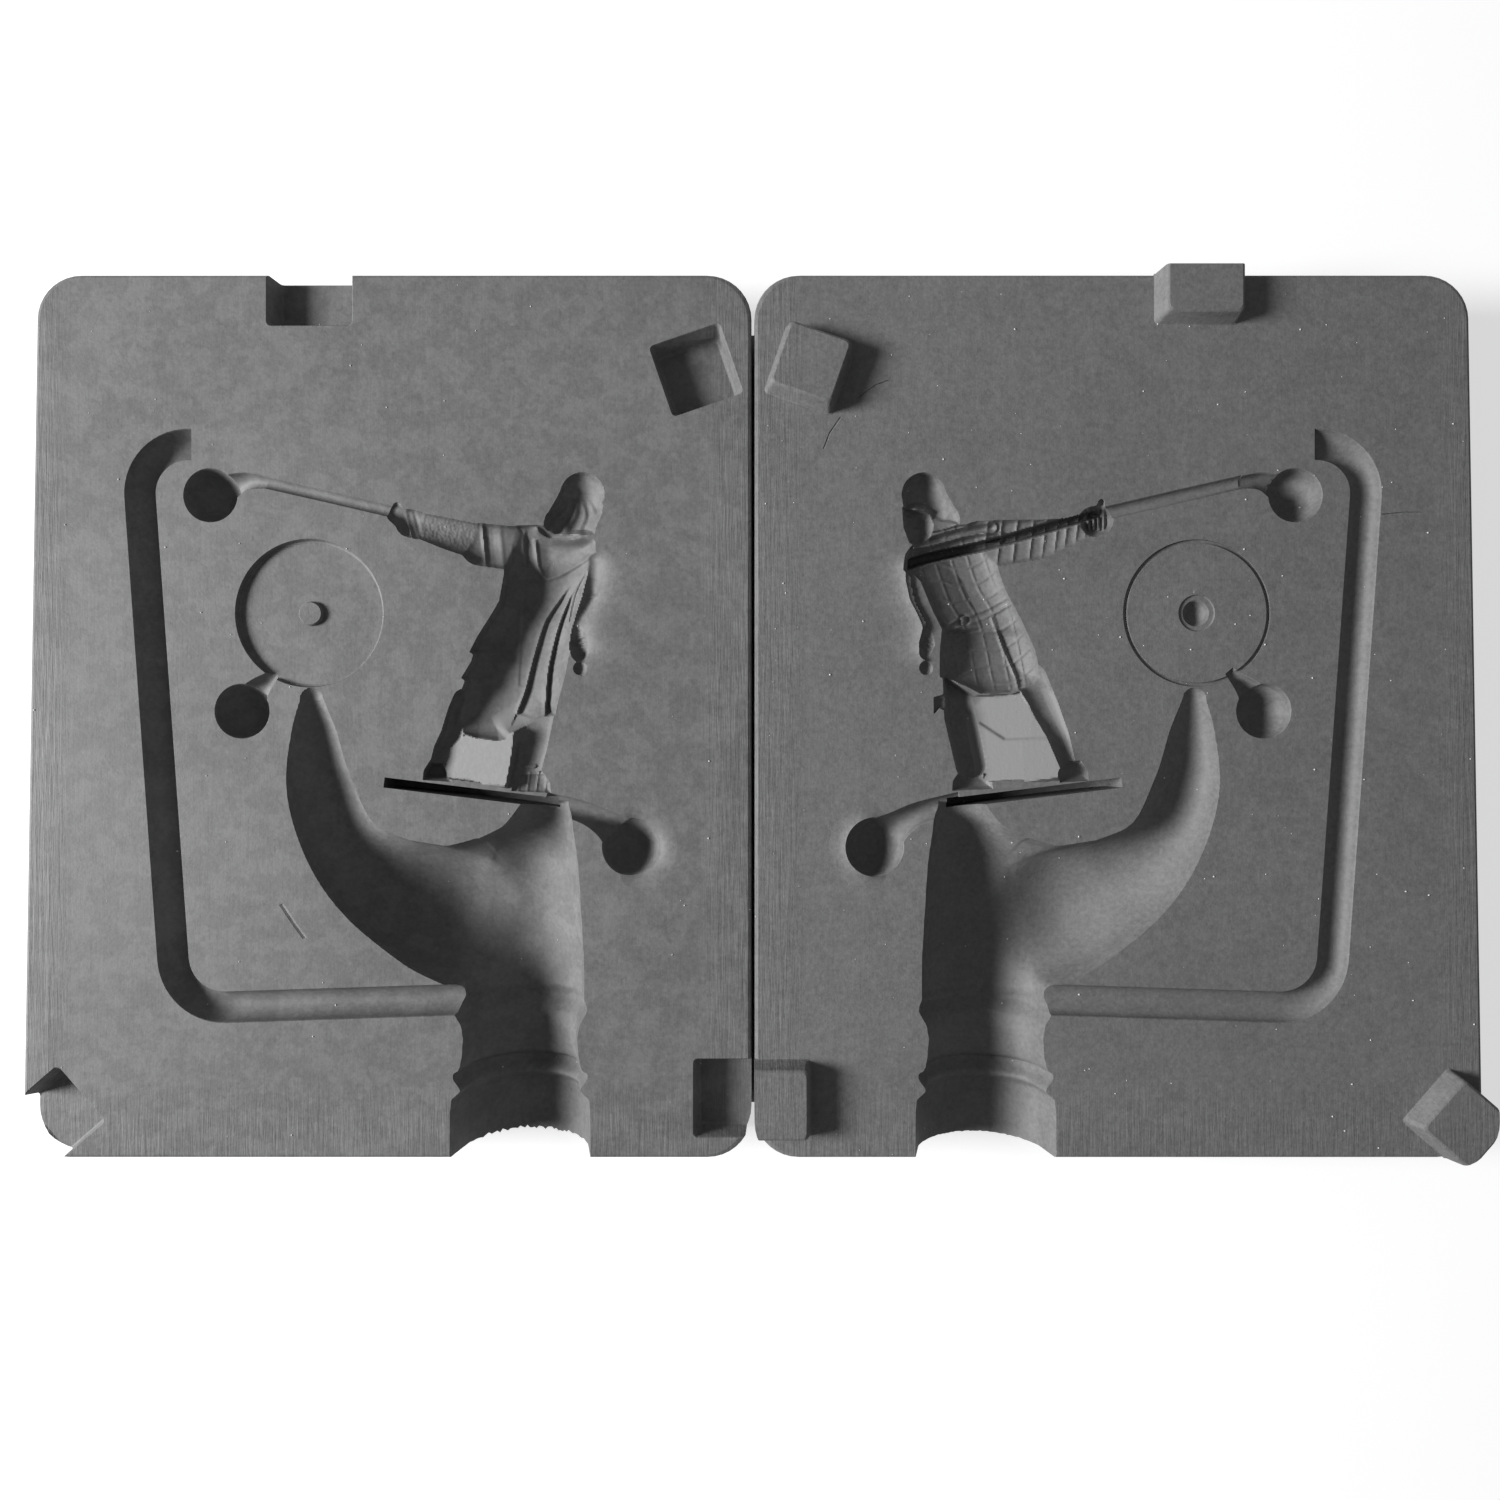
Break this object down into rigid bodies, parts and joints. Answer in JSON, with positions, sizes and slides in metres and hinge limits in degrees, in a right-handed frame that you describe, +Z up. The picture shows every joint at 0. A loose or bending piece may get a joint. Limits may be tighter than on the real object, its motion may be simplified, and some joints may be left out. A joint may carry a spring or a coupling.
{
  "type": "figure casting mould",
  "caption": "Two-part rubber mould for casting a small metal spearman, laid open to show its cavity, sprue, vent and locating lugs.",
  "frame": {"origin": "on the table, at the middle of the two halves' common footprint", "axes": "+X from the back half to the front half, +Y away from the pour mouths, +Z up out of the parting faces"},
  "size_m": [0.1982, 0.12, 0.014],
  "materials": {
    "back_rubber": "matt, mottled",
    "front_rubber": "matt, fine grained"
  },
  "bodies": {
    "root": {"back_mould_half": "back_rubber", "front_mould_half": "front_rubber"}
  },
  "joints": []
}
